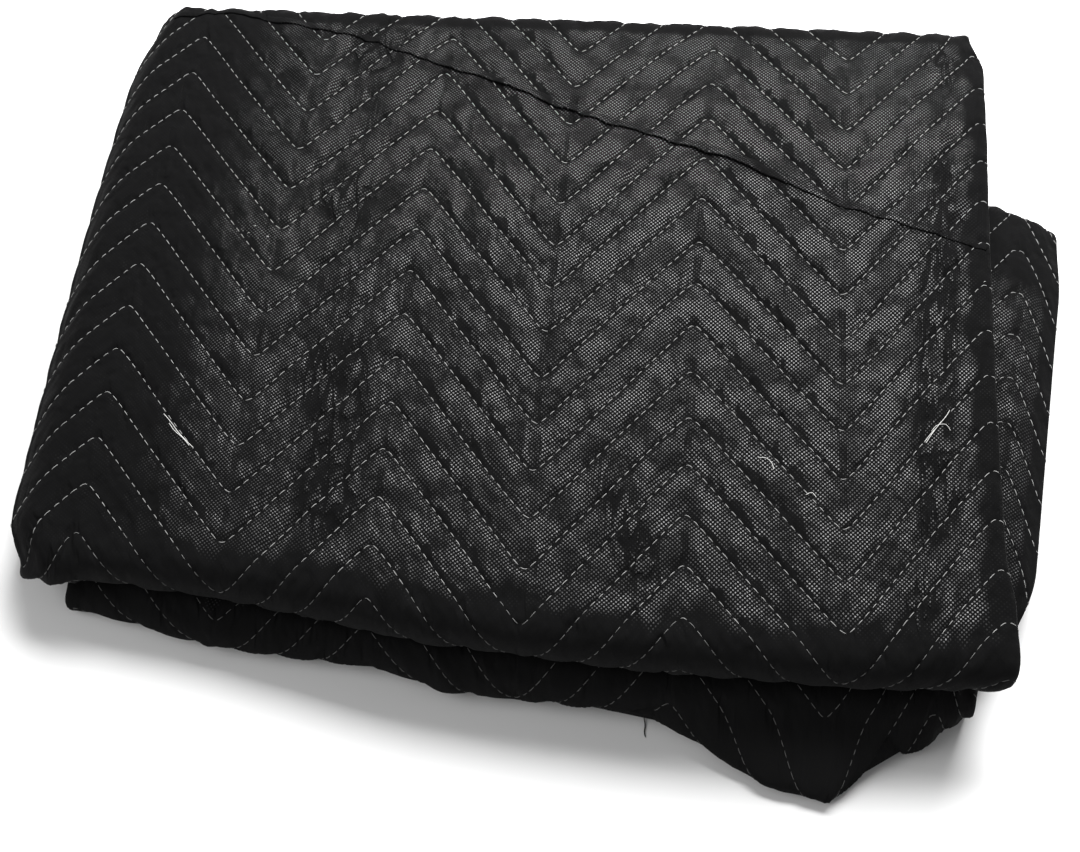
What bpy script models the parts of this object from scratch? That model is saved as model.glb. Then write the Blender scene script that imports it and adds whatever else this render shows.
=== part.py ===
"""Two quilted moving blankets, each folded in three across and in four along, lying one on the other.

Each blanket is one closed sheet of cloth. It is drawn flat, cut along its zigzag quilting where that
shows, folded across, folded along, and then laid in place: the upper one over the lower one.
Metres, +Z up, origin under the middle of the stack on the surface that it rests on.
"""
import math

import bmesh
import bpy
from mathutils import Vector

# The cloth
SHEET = 0.0018              # thickness between the quilted channels' soft backs
PLY_PITCH = 0.0034          # from one ply to the next inside a bundle of three
BUNDLE_PITCH = 0.0106       # from one bundle of three plies to the next
QUILT_HALF_PERIOD = 0.0985  # across, from a peak of the zigzag to a valley
QUILT_ROW = 0.0365          # along, from one row of stitching to the next
QUILT_HEIGHT = 0.113        # along, from a valley of one row up to its peak
CROWN = 0.0017              # how far a channel's crown stands out of the sheet's face
TROUGH = 0.0002             # how far the stitching pulls the face in
CROWN_PLACES = (0.0, 0.3, 0.7)   # lines in each row: the stitching and the crown's two shoulders
REST_GAP = 0.0010           # clear height between the two blankets
BLACK_CLOTH = 0.02          # grey value of both blankets' cloth

# Both folds of a bundle across, and how short its raw edges stop of them
TIGHT_FOLD = PLY_PITCH / 2
WIDE_FOLD = PLY_PITCH
INNER_RAW_EDGE = 0.014
OUTER_RAW_EDGE = 0.010
INNER_BACK = 0.003          # how far the inner front fold lies behind the axis of the outer roll

# Steps that each kind of round fold is drawn with
TIGHT_STEPS = 3
WIDE_STEPS = 4
FRONT_STEPS = 6
INNER_STEPS = 6
BACK_STEPS = 4

# Heights
LOWER_TOP = 0.042           # top of the lower blanket at its middle and right
LEFT_SINK_START = 0.020     # place across where it starts to sink towards the left
LEFT_SINK_SLOPE = 0.056
LEFT_SINK_SOFT = 0.070
BACK_SAG = 0.80             # how the upper blanket sags past the lower one's back, per metre
UPPER_THICK = 0.043         # thickness of the upper blanket at its middle
THINNER_ACROSS = 0.05       # share of it lost at 0.3 m to either side
THINNER_ALONG = 0.06        # share of it lost at the front and at the back
LOOSE_START = 0.24          # place along behind which the open bundles hang lower than the fold above them
LOOSE_RATE = 0.45           # how much lower, per metre

# Edges that are thinner than the middle: where that starts, over what width, what share is lost
UPPER_LEFT_EDGE = (-0.321, -0.026, 0.46)
LOWER_RIGHT_EDGE = (0.270, 0.053, 0.36)
LOWER_LEFT_EDGE = (-0.255, -0.046, 0.25)
LOWER_BACK_EDGE = (0.340, 0.070, 0.10)

# Middle of the stack's box, taken off every point so that the origin lies under it
PLAN_CENTRE = (0.0110, 0.0751)

# How the upper blanket lies off the square, about the middle of its quilting
QUILT_MIDDLE = 0.084        # place along of that middle
LEAN = 0.020                # sideways, per metre of depth
SPREAD = 0.017              # widening, per metre of depth
BOW_ACROSS = 0.048
BOW_ALONG = 0.066
RIGHT_TUCK = 0.005          # how far the right side draws in as a whole
STAGGER = 0.0015            # how far the plies' edges stray from one another

# How its rows of quilting curve
ROW_SLOPE = 0.020
ROW_BOW = 0.11
ROW_STRETCH = 0.045
ROW_CLOSING = 0.065

# Upper blanket, in the frame of its quilting
UPPER = {
    "name": "upper_blanket",
    "left_margin": 0.053,       # from the first peak column to the left fold
    "right_margin": 0.004,      # from the last peak column to the right fold
    "toe": False,               # it has no toe, and its visible face is round between the grid's lines
    "depth": 0.490,             # from the front roll's axis to the back fold's axis
    "bottom_extra": 0.010,      # how far the bottom bundle reaches behind the back fold
    "second_short": 0.012,      # how far the second bundle stops short of it
}

# Lower blanket
LOWER = {
    "name": "lower_blanket",
    "left_margin": 0.006,
    "right_margin": 0.028,
    "toe": True,                # its visible face keeps to the flats between the grid's lines
    "depth": 0.400,
    "bottom_extra": 0.006,
    "second_short": 0.010,
}

# Places along both blankets' folded depth that get a line of points
UPPER_ROWS = (0.0, 0.100, 0.220, 0.340, 0.430, 0.490)
LOWER_ROWS = (0.0, 0.065, 0.130, 0.260, 0.400)
UPPER_EDGE_COLUMN = 0.024   # width of the strip beside the upper blanket's left fold
LOWER_MARGIN = 0.262        # place across, on the lower blanket, that the upper one's edge lies over

# Corners that are drawn in: from and to across, from and to along, moved across, moved along
UPPER_CORNERS = (
    ((-0.278, -0.353), (0.027, -0.020), 0.007, 0.000),
    ((-0.278, -0.353), (0.080, -0.020), 0.000, 0.006),
    ((-0.278, -0.353), (0.420, 0.500), 0.010, 0.000),
    ((0.270, 0.320), (0.060, 0.020), 0.006, 0.000),
)
LOWER_CORNERS = (
    ((0.200, 0.325), (0.105, -0.015), -0.030, 0.000),
    ((0.200, 0.325), (0.060, -0.020), 0.000, 0.012),
    ((0.200, 0.325), (0.330, 0.410), -0.006, 0.000),
    ((0.230, 0.325), (0.300, 0.410), 0.000, -0.008),
)

# Line of the upper blanket's front roll axis: place across, place along
UPPER_FRONT = (
    (-0.348, -0.110),
    (-0.320, -0.113),
    (-0.285, -0.104),
    (-0.200, -0.113),
    (-0.060, -0.139),
    (0.060, -0.150),
    (0.210, -0.153),
    (0.305, -0.148),
)

# Line of its back fold's axis: place along at the middle, slope, bow
UPPER_BACK = 0.354
UPPER_BACK_SLOPE = 0.018
UPPER_BACK_BOW = 0.11

# Line of the lower blanket's front roll axis: place across, place along
LOWER_FRONT = (
    (-0.298, -0.111),
    (-0.253, -0.119),
    (-0.202, -0.132),
    (-0.086, -0.141),
    (-0.046, -0.154),
    (0.086, -0.161),
    (0.145, -0.166),
    (0.320, -0.170),
)

# How far the quilting strays back or forward from its even curve: place across, along
QUILT_SWAY = (
    (-0.2955, 0.003),
    (-0.1970, 0.007),
    (-0.0985, 0.006),
    (0.0000, -0.003),
    (0.0985, 0.000),
    (0.1970, -0.004),
    (0.2955, 0.000),
)

# Ends of the lower blanket's front, place across, and the corners of its back
LOWER_FRONT_ENDS = (-0.300, 0.314)
LOWER_BACK_RIGHT = (0.371, 0.219)
LOWER_BACK_LEFT = (-0.235, 0.305)

# Toe of the lower blanket's front: place across, how far it reaches forward at floor level
TOE = (
    (0.086, 0.000),
    (0.118, 0.016),
    (0.160, 0.040),
    (0.202, 0.050),
    (0.228, 0.028),
    (0.250, 0.008),
    (0.267, 0.018),
    (0.290, 0.012),
    (0.318, -0.012),
)
TOE_TOP = 0.036             # height above which the toe is gone
TOE_FULL = 0.002            # height below which it is at its full reach
TOE_FADE = 0.130            # depth behind the front roll's axis over which it fades


def between(low, high, value):
    """Smooth step from 0 at low to 1 at high."""
    share = min(1.0, max(0.0, (value - low) / (high - low)))
    return share * share * (3.0 - 2.0 * share)


def along_table(rows, place):
    """Value of a two-column table at a place, straight between its rows."""
    if place <= rows[0][0]:
        return rows[0][1]
    for (near, low), (far, high) in zip(rows, rows[1:]):
        if place <= far:
            return low + (high - low) * (place - near) / (far - near)
    return rows[-1][1]


class FoldPath:
    """A line of straight runs and round bends in a plane, walked by the distance along it."""

    def __init__(self, start, heading, runs):
        self.pieces = []
        x, y = start
        angle = heading
        distance = 0.0
        for length, radius, turn in runs:
            self.pieces.append((distance, length, x, y, angle, radius, turn))
            if turn:
                side = math.copysign(1.0, turn)
                centre_x = x - side * radius * math.sin(angle)
                centre_y = y + side * radius * math.cos(angle)
                angle += turn
                x = centre_x + side * radius * math.sin(angle)
                y = centre_y - side * radius * math.cos(angle)
            else:
                x += length * math.cos(angle)
                y += length * math.sin(angle)
            distance += length
        self.length = distance

    def at(self, distance):
        """Point and heading at a distance along the path."""
        for begin, length, x, y, angle, radius, turn in reversed(self.pieces):
            if distance >= begin - 1e-9:
                break
        walked = distance - begin
        if turn:
            side = math.copysign(1.0, turn)
            centre_x = x - side * radius * math.sin(angle)
            centre_y = y + side * radius * math.cos(angle)
            angle += turn * walked / length
            x = centre_x + side * radius * math.sin(angle)
            y = centre_y - side * radius * math.cos(angle)
            return x, y, angle
        return x + walked * math.cos(angle), y + walked * math.sin(angle), angle


def fold_lines(start, radius, steps):
    """Distances along the flat cloth of the lines that draw a half turn."""
    return [start + math.pi * radius * step / steps for step in range(steps + 1)]


def straight(length):
    return length, 0.0, 0.0


def bend(radius, turn):
    return radius * abs(turn), radius, turn


class Blanket:
    """The two fold paths of a blanket and where its zigzag quilting lies."""

    def __init__(self, sizes):
        self.sizes = sizes
        half = 3.0 * QUILT_HALF_PERIOD
        self.left = -half - sizes["left_margin"] + WIDE_FOLD
        self.right = half + sizes["right_margin"] - TIGHT_FOLD
        width = self.right - self.left
        self.inner_run = width - INNER_RAW_EDGE
        self.outer_run = width - OUTER_RAW_EDGE
        self.across = FoldPath(
            (self.left + INNER_RAW_EDGE, 0.0),
            0.0,
            [
                straight(self.inner_run),
                bend(TIGHT_FOLD, math.pi),
                straight(width),
                bend(WIDE_FOLD, math.pi),
                straight(self.outer_run),
            ],
        )
        self.face_start = self.inner_run + math.pi * TIGHT_FOLD
        self.face_end = self.face_start + width
        depth = sizes["depth"]
        self.bottom_run = depth + sizes["bottom_extra"]
        self.third_run = depth - INNER_BACK
        self.second_run = self.third_run - sizes["second_short"]
        self.front_radius = 1.5 * BUNDLE_PITCH
        self.inner_radius = 0.5 * BUNDLE_PITCH
        self.along = FoldPath(
            (self.bottom_run, 0.5 * BUNDLE_PITCH),
            math.pi,
            [
                straight(self.bottom_run),
                bend(self.front_radius, -math.pi),
                straight(depth),
                bend(self.inner_radius, -math.pi),
                straight(self.third_run),
                bend(self.inner_radius, math.pi),
                straight(self.second_run),
            ],
        )
        self.front_start = self.bottom_run
        self.top_start = self.front_start + math.pi * self.front_radius
        self.top_end = self.top_start + depth
        self.back_end = self.top_end + math.pi * self.inner_radius
        self.low = 0.5 * BUNDLE_PITCH - PLY_PITCH - SHEET / 2
        self.high = 3.5 * BUNDLE_PITCH + PLY_PITCH + SHEET / 2

    def across_lines(self, columns):
        """Distances across the flat cloth of its fold lines and of the columns on all three plies."""
        lines = [0.0, self.across.length]
        lines += fold_lines(self.inner_run, TIGHT_FOLD, TIGHT_STEPS)
        lines += fold_lines(self.face_end, WIDE_FOLD, WIDE_STEPS)
        last_start = self.face_end + math.pi * WIDE_FOLD
        columns = list(columns) + [self.left + INNER_RAW_EDGE, self.right - OUTER_RAW_EDGE]
        for place in columns:
            if place > self.left + INNER_RAW_EDGE:
                lines.append(place - self.left - INNER_RAW_EDGE)
            lines.append(self.face_start + self.right - place)
            if place < self.right - OUTER_RAW_EDGE:
                lines.append(last_start + place - self.left)
        return sorted_apart(lines)

    def along_lines(self, rows):
        """Distances along the flat cloth of its fold lines and of the rows on all four bundles."""
        third_end = self.back_end + self.third_run
        lines = [0.0, self.along.length]
        lines += fold_lines(self.front_start, self.front_radius, FRONT_STEPS)
        lines += fold_lines(self.top_end, self.inner_radius, BACK_STEPS)
        lines += fold_lines(third_end, self.inner_radius, INNER_STEPS)
        second_start = third_end + math.pi * self.inner_radius
        for place in rows:
            lines.append(self.bottom_run - place)
            lines.append(self.top_start + place)
            if place > INNER_BACK:
                lines.append(third_end + INNER_BACK - place)
            if INNER_BACK < place < self.second_run + INNER_BACK:
                lines.append(second_start + place - INNER_BACK)
        return sorted_apart(lines)

    def fold(self, across, along, lift):
        """Place in the folded stack of a point of the flat cloth, lifted off its middle surface."""
        x, height, heading = self.across.at(across)
        x += lift * math.sin(heading)
        height -= lift * math.cos(heading)
        y, z, heading = self.along.at(along)
        return x, y - height * math.sin(heading), z + height * math.cos(heading)

    def share_of_height(self, z):
        return (z - self.low) / (self.high - self.low)


def sorted_apart(values):
    """The values in order, without any that repeats another."""
    kept = []
    for value in sorted(values):
        if not kept or value - kept[-1] > 1e-6:
            kept.append(value)
    return kept


def zigzag(place):
    """Height of the zigzag at a place across: peaks at the outermost columns, valleys between."""
    step = (place + 3.0 * QUILT_HALF_PERIOD) / QUILT_HALF_PERIOD
    wave = abs((step % 2.0) - 1.0)
    return QUILT_HEIGHT * (wave - 0.5)


def left_sink(x):
    """How far the support under the upper blanket sinks towards the left end, even but for a soft start."""
    past = LEFT_SINK_START - x
    return LEFT_SINK_SLOPE * 0.5 * (past + math.hypot(past, LEFT_SINK_SOFT))


def support_height(x, y):
    """Top of the lower blanket, and the sagging line that the upper one follows past its back."""
    run = LOWER_BACK_RIGHT[0] - LOWER_BACK_LEFT[0]
    rise = LOWER_BACK_LEFT[1] - LOWER_BACK_RIGHT[1]
    back_line = LOWER_BACK_RIGHT[1] + rise * (LOWER_BACK_RIGHT[0] - x) / run
    past = max(0.0, y - back_line)
    return LOWER_TOP - left_sink(x) - past * past * BACK_SAG


def drawn_in(corners, x, y):
    """How far a table of corners moves a place of a folded blanket across and along."""
    across = 0.0
    along = 0.0
    for across_range, along_range, move_across, move_along in corners:
        share = between(*across_range, x) * between(*along_range, y)
        across += move_across * share
        along += move_along * share
    return across, along


def thinned(edge, place):
    """Share of the thickness that is left at a place near a thinner edge."""
    start, width, lost = edge
    return 1.0 - lost * min(1.0, max(0.0, (place - start) / width)) ** 2


def upper_place(blanket, x, y, z):
    """Lays a point of the folded upper blanket in the stack."""
    share = blanket.share_of_height(z)
    depth = blanket.sizes["depth"]
    inside = min(1.0, max(0.0, y / depth))
    front = along_table(UPPER_FRONT, x)
    back = UPPER_BACK + UPPER_BACK_SLOPE * x + UPPER_BACK_BOW * x * x
    place_y = front + inside * (back - front) + (y - inside * depth)
    row = place_y - QUILT_MIDDLE
    place_x = x + LEAN * row + SPREAD * x * row + BOW_ACROSS * x * x + BOW_ALONG * row * row
    place_x -= STAGGER * math.sin(5.0 * share + 0.6) * between(0.05, 0.3, abs(x))
    place_x -= RIGHT_TUCK * between(0.18, 0.30, x)
    across, along = drawn_in(UPPER_CORNERS, x, y)
    place_x += across
    place_y += along
    thick = UPPER_THICK * (1.0 - THINNER_ACROSS * (x / 0.3) ** 2 - THINNER_ALONG * (2.0 * inside - 1.0) ** 2)
    thick *= thinned(UPPER_LEFT_EDGE, x)
    loose = LOOSE_RATE * max(0.0, place_y - LOOSE_START) ** 2
    base = support_height(place_x, place_y) + REST_GAP - loose
    return place_x, place_y, base + share * (thick + loose)


def lower_place(blanket, x, y, z):
    """Lays a point of the folded lower blanket on the surface."""
    share = blanket.share_of_height(z)
    depth = blanket.sizes["depth"]
    s = (x - blanket.left) / (blanket.right - blanket.left)
    inside = min(1.0, max(0.0, y / depth))
    past = y - inside * depth
    front_x = LOWER_FRONT_ENDS[0] + s * (LOWER_FRONT_ENDS[1] - LOWER_FRONT_ENDS[0])
    front_y = along_table(LOWER_FRONT, x)
    back_x = LOWER_BACK_LEFT[0] + s * (LOWER_BACK_RIGHT[0] - LOWER_BACK_LEFT[0])
    back_y = LOWER_BACK_LEFT[1] + s * (LOWER_BACK_RIGHT[1] - LOWER_BACK_LEFT[1])
    place_x = front_x + inside * (back_x - front_x)
    place_y = front_y + inside * (back_y - front_y) + past
    across, along = drawn_in(LOWER_CORNERS, x, y)
    place_x += across
    place_y += along
    thick = LOWER_TOP - left_sink(place_x)
    thick *= thinned(LOWER_RIGHT_EDGE, x) * thinned(LOWER_LEFT_EDGE, x) * thinned(LOWER_BACK_EDGE, y)
    place_z = share * thick
    # Toe at the front right, at floor level only
    low = 1.0 - between(TOE_FULL, TOE_TOP, place_z)
    near_front = 1.0 - between(0.0, TOE_FADE, y)
    place_y -= along_table(TOE, x) * low * near_front
    return place_x, place_y, place_z


def quilt_coordinate(blanket, place, x, along):
    """Distance along the quilting's own rows at a point of the outer face."""
    if along >= blanket.top_start:
        y = min(along, blanket.top_end) - blanket.top_start
        beyond = along - blanket.top_start - y
        world_x, world_y, world_z = place(blanket, x, y, blanket.high)
        curve = ROW_SLOPE * x + ROW_BOW * x * x + along_table(QUILT_SWAY, x)
        row = (world_y - QUILT_MIDDLE - curve) / (1.0 + ROW_STRETCH * x)
        return row - ROW_CLOSING * row * row + beyond
    at_roll = quilt_coordinate(blanket, place, x, blanket.top_start)
    return at_roll - (blanket.top_start - along) * (blanket.front_radius + PLY_PITCH) / blanket.front_radius


def along_of_quilt(blanket, place, x, target):
    """Distance along the flat cloth where the quilting's own rows reach a target."""
    low = blanket.front_start - 0.2
    high = blanket.back_end + 0.2
    for _ in range(40):
        middle = 0.5 * (low + high)
        if quilt_coordinate(blanket, place, x, middle) < target:
            low = middle
        else:
            high = middle
    return 0.5 * (low + high)


def flat_grid(lines_across, lines_along):
    """A flat grid of faces between the given lines."""
    cloth = bmesh.new()
    rows = [[cloth.verts.new((a, b, 0.0)) for a in lines_across] for b in lines_along]
    for near, far in zip(rows, rows[1:]):
        for index in range(len(lines_across) - 1):
            cloth.faces.new((near[index], near[index + 1], far[index + 1], far[index]))
    return cloth


def cut_flat(cloth, chosen, start, end):
    """Cuts the chosen flat faces along the straight line from start to end."""
    edges = {edge for face in chosen for edge in face.edges}
    verts = {vert for face in chosen for vert in face.verts}
    normal = (start[1] - end[1], end[0] - start[0], 0.0)
    geometry = list(verts) + list(edges) + list(chosen)
    bmesh.ops.bisect_plane(cloth, geom=geometry, dist=2e-5, plane_co=(*start, 0.0), plane_no=normal)


def faces_within(cloth, across_range, along_range):
    chosen = []
    for face in cloth.faces:
        centre = face.calc_center_median()
        if across_range[0] < centre.x < across_range[1] and along_range[0] < centre.y < along_range[1]:
            chosen.append(face)
    return chosen


def cut_quilting(cloth, blanket, place, strips, along_range):
    """Cuts the zigzag rows into the strips between the given places across."""
    for right, left in zip(strips, strips[1:]):
        across_range = (blanket.face_start + blanket.right - right, blanket.face_start + blanket.right - left)
        ends = []
        for x in (left, right):
            for along in along_range:
                ends.append(quilt_coordinate(blanket, place, x, along) - zigzag(x))
        first = math.floor(min(ends) / QUILT_ROW) - 1
        last = math.ceil(max(ends) / QUILT_ROW) + 1
        for row in range(first, last):
            for part in CROWN_PLACES:
                target = (row + part) * QUILT_ROW
                near = along_of_quilt(blanket, place, right, target + zigzag(right))
                far = along_of_quilt(blanket, place, left, target + zigzag(left))
                if max(near, far) <= along_range[0] or min(near, far) >= along_range[1]:
                    continue
                reach = (max(along_range[0], min(near, far) - 0.1), min(along_range[1], max(near, far) + 0.1))
                chosen = faces_within(cloth, across_range, reach)
                cut_flat(cloth, chosen, (across_range[0], near), (across_range[1], far))


def relief(blanket, place, x, along):
    """How far the outer face stands out between its rows of stitching."""
    phase = (quilt_coordinate(blanket, place, x, along) - zigzag(x)) / QUILT_ROW
    swell = math.sin(math.pi * (phase % 1.0)) ** 0.7
    return (CROWN + TROUGH) * swell - TROUGH


def upper_fade(blanket, across, along):
    """1 where the upper blanket's quilting shows, 0 on the plies it covers."""
    sides = between(blanket.face_start - 0.003, blanket.face_start + 0.008, across)
    sides *= 1.0 - between(blanket.face_end - 0.004, blanket.face_end + 0.008, across)
    ends = between(blanket.front_start + 0.004, blanket.front_start + 0.016, along)
    ends *= 1.0 - between(blanket.top_end, blanket.back_end, along)
    return sides * ends


def lower_fade(blanket, across, along):
    """1 where the lower blanket's quilting shows: its front roll and its right margin."""
    world_x, world_y, world_z = lower_place(blanket, *blanket.fold(across, along, 0.0))
    sides = between(blanket.face_start - 0.003, blanket.face_start + 0.008, across)
    sides *= 1.0 - between(blanket.face_end - 0.004, blanket.face_end + 0.008, across)
    off_floor = between(blanket.front_start + 0.006, blanket.front_start + 0.018, along)
    front = 1.0 - between(blanket.top_start - 0.016, blanket.top_start - 0.006, along)
    margin = between(0.314, 0.324, world_x) * (1.0 - between(blanket.top_end, blanket.back_end, along))
    return sides * off_floor * max(front, margin)


def perimeter(lines_across, lines_along):
    """The grid's outer points in order, once round."""
    first_a, last_a = lines_across[0], lines_across[-1]
    first_b, last_b = lines_along[0], lines_along[-1]
    points = [(a, first_b) for a in lines_across[:-1]]
    points += [(last_a, b) for b in lines_along[:-1]]
    points += [(a, last_b) for a in reversed(lines_across[1:])]
    points += [(first_a, b) for b in reversed(lines_along[1:])]
    return points


def cell(lines, value):
    """The two lines that a value lies between, and its share of the way."""
    for low, high in zip(lines, lines[1:]):
        if value <= high:
            break
    return low, high, min(1.0, max(0.0, (value - low) / (high - low)))


def rounded(a, b):
    """A flat place as the mesh holds it, so that the same place is found again."""
    spot = Vector((a, b))
    return round(spot.x, 6), round(spot.y, 6)


def rising(blanket, across, along):
    """Whether a flat cell is split from its near left corner, so that plies that touch are split alike."""
    on_face = blanket.face_start < across < blanket.face_end
    third_end = blanket.back_end + blanket.third_run
    toward_front = along < blanket.front_start or blanket.back_end < along < third_end
    return on_face == toward_front


def split_cells(cloth, blanket):
    """Splits the four-cornered cells of a flat cloth into triangles, and then what else has more corners."""
    for face in [face for face in cloth.faces if len(face.verts) == 4]:
        corners = sorted(face.verts, key=lambda vert: (round(vert.co.y, 5), round(vert.co.x, 5)))
        near_left, near_right, far_left, far_right = corners
        slants = (
            near_left.co.y - near_right.co.y,
            far_left.co.y - far_right.co.y,
            near_left.co.x - far_left.co.x,
            near_right.co.x - far_right.co.x,
        )
        if max(abs(slant) for slant in slants) > 1e-5:
            continue
        centre = face.calc_center_median()
        if rising(blanket, centre.x, centre.y):
            bmesh.utils.face_split(face, near_left, far_right)
        else:
            bmesh.utils.face_split(face, near_right, far_left)
    bmesh.ops.triangulate(cloth, faces=[face for face in cloth.faces if len(face.verts) > 3])


def add_face(solid, cloth, blanket, position, flip):
    """Adds one laid face of the sheet to the solid and returns its points by their flat place."""
    split_cells(cloth, blanket)
    found = {}
    for vert in cloth.verts:
        found[rounded(vert.co.x, vert.co.y)] = solid.verts.new(position(vert.co.x, vert.co.y))
    for face in cloth.faces:
        corners = [found[rounded(vert.co.x, vert.co.y)] for vert in face.verts]
        solid.faces.new(reversed(corners) if flip else corners)
    cloth.free()
    return found


def make_blanket(sizes, place, fade, columns, rows, quilted, material):
    """Builds one blanket as a closed sheet and returns its object."""
    blanket = Blanket(sizes)
    lines_across = blanket.across_lines(columns)
    lines_along = blanket.along_lines(rows)

    def laid(across, along, lift):
        x, y, z = place(blanket, *blanket.fold(across, along, lift))
        return Vector((x - PLAN_CENTRE[0], y - PLAN_CENTRE[1], z))

    def outer(across, along):
        seen = fade(blanket, across, along)
        lift = SHEET / 2
        if seen > 0.0:
            x = min(blanket.right, max(blanket.left, blanket.right - (across - blanket.face_start)))
            lift += seen * relief(blanket, place, x, along)
        if not sizes["toe"]:
            return laid(across, along, lift)
        a0, a1, s = cell(toe_columns(blanket, lines_across, along), across)
        b0, b1, t = cell(lines_along, along)
        if rising(blanket, 0.5 * (a0 + a1), 0.5 * (b0 + b1)):
            corner = laid(a1, b0, lift) if s > t else laid(a0, b1, lift)
            low, high = laid(a0, b0, lift), laid(a1, b1, lift)
            small, large = min(s, t), max(s, t)
            return low + (large - small) * (corner - low) + small * (high - low)
        left, right = laid(a0, b1, lift), laid(a1, b0, lift)
        if s + t < 1.0:
            corner = laid(a0, b0, lift)
            return corner + s * (right - corner) + t * (left - corner)
        corner = laid(a1, b1, lift)
        return corner + (1.0 - s) * (left - corner) + (1.0 - t) * (right - corner)

    def inner(across, along):
        return laid(across, along, -SHEET / 2)

    outer_cloth = flat_grid(lines_across, lines_along)
    inner_cloth = flat_grid(lines_across, lines_along)
    if sizes["toe"]:
        toe_lines(outer_cloth, blanket)
        toe_lines(inner_cloth, blanket)
    for strips, along_range in quilted(blanket):
        cut_quilting(outer_cloth, blanket, place, strips, along_range)

    solid = bmesh.new()
    outer_points = add_face(solid, outer_cloth, blanket, outer, True)
    inner_points = add_face(solid, inner_cloth, blanket, inner, False)
    edge = [rounded(a, b) for a, b in perimeter(lines_across, lines_along)]
    for here, there in zip(edge, edge[1:] + edge[:1]):
        solid.faces.new((outer_points[here], outer_points[there], inner_points[there], inner_points[here]))
    bmesh.ops.triangulate(solid, faces=[face for face in solid.faces if len(face.verts) > 3])
    bmesh.ops.recalc_face_normals(solid, faces=solid.faces[:])
    mesh = bpy.data.meshes.new(sizes["name"])
    solid.to_mesh(mesh)
    solid.free()
    mesh.shade_smooth()
    mesh.materials.append(material)
    body = bpy.data.objects.new(sizes["name"], mesh)
    bpy.context.scene.collection.objects.link(body)
    return body


def quilt_columns():
    return [(index - 3) * QUILT_HALF_PERIOD for index in range(7)]


def upper_quilting(blanket):
    """Strips of the upper blanket whose quilting shows, from right to left."""
    strips = [blanket.right] + list(reversed(quilt_columns())) + [blanket.left]
    return [(strips, (blanket.front_start, blanket.back_end))]


def lower_quilting(blanket):
    """Strips of the lower blanket whose quilting shows: the front roll and the right margin."""
    columns = list(reversed(quilt_columns()))
    whole = [blanket.right] + columns + [blanket.left]
    margin = [blanket.right, columns[0], LOWER_MARGIN]
    return [
        (margin, (blanket.top_start, blanket.back_end)),
        (whole, (blanket.front_start, blanket.top_start)),
    ]


def toe_zones(blanket):
    """Stretches along the flat cloth that lie near the lower blanket's front."""
    third_end = blanket.back_end + blanket.third_run
    second_start = third_end + math.pi * blanket.inner_radius
    return [
        (blanket.front_start - TOE_FADE, blanket.top_start + TOE_FADE),
        (third_end - TOE_FADE, second_start + TOE_FADE),
    ]


def toe_places(blanket):
    """Distances across the flat cloth where the toe turns, on all three plies."""
    last_start = blanket.face_end + math.pi * WIDE_FOLD
    places = []
    for place, _ in TOE[1:-1]:
        places.append(place - blanket.left - INNER_RAW_EDGE)
        places.append(blanket.face_start + blanket.right - place)
        places.append(last_start + place - blanket.left)
    return places


def toe_columns(blanket, lines_across, along):
    """The grid's lines across, with the toe's own where the cloth lies near the front."""
    if any(low <= along <= high for low, high in toe_zones(blanket)):
        return sorted_apart(lines_across + toe_places(blanket))
    return lines_across


def toe_lines(cloth, blanket):
    """Cuts lines through all plies near the front where the lower blanket's toe turns."""
    for across in toe_places(blanket):
        for zone in toe_zones(blanket):
            chosen = faces_within(cloth, (across - 0.2, across + 0.2), zone)
            cut_flat(cloth, chosen, (across, 0.0), (across, 1.0))


def cloth_material(name, grey):
    material = bpy.data.materials.new(name)
    material.use_nodes = True
    shader = material.node_tree.nodes["Principled BSDF"]
    shader.inputs["Base Color"].default_value = (grey, grey, grey, 1.0)
    shader.inputs["Roughness"].default_value = 0.8
    shader.inputs["Metallic"].default_value = 0.0
    return material


def main():
    for body in list(bpy.data.objects):
        bpy.data.objects.remove(body, do_unlink=True)
    upper_left = -3.0 * QUILT_HALF_PERIOD - UPPER["left_margin"]
    upper_columns = quilt_columns() + [upper_left + UPPER_EDGE_COLUMN]
    lower_columns = quilt_columns() + [LOWER_MARGIN]
    lower_cloth = cloth_material("lower_cloth", BLACK_CLOTH)
    upper_cloth = cloth_material("upper_cloth", BLACK_CLOTH)
    make_blanket(LOWER, lower_place, lower_fade, lower_columns, LOWER_ROWS, lower_quilting, lower_cloth)
    make_blanket(UPPER, upper_place, upper_fade, upper_columns, UPPER_ROWS, upper_quilting, upper_cloth)


main()
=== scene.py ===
"""Looks of a stack of two quilted moving blankets: folded cloth, stitching, loose threads and light.

Each blanket is one closed sheet that follows the folds of the solid it replaces. Its points lie on
lines that run along the zigzag stitching, so that every channel gets its own troughs and crown.
Metres, +Z up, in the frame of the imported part.
"""
import math

import bmesh
import bpy
import numpy as np
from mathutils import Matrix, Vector


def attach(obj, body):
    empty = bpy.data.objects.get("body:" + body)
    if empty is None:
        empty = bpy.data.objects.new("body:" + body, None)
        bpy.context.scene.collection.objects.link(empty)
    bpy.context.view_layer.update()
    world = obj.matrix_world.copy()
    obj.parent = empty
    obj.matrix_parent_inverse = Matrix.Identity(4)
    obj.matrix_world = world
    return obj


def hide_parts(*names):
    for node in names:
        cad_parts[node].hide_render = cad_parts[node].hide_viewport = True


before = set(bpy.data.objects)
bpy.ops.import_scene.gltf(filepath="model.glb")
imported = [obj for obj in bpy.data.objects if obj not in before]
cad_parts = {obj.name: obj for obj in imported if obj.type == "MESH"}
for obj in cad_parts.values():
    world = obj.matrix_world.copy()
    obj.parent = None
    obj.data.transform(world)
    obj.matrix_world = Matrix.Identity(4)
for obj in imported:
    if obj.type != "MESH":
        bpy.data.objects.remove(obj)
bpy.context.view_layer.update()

# The folded cloth, as in the solids
SHEET = 0.0018
PLY_PITCH = 0.0034
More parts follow.
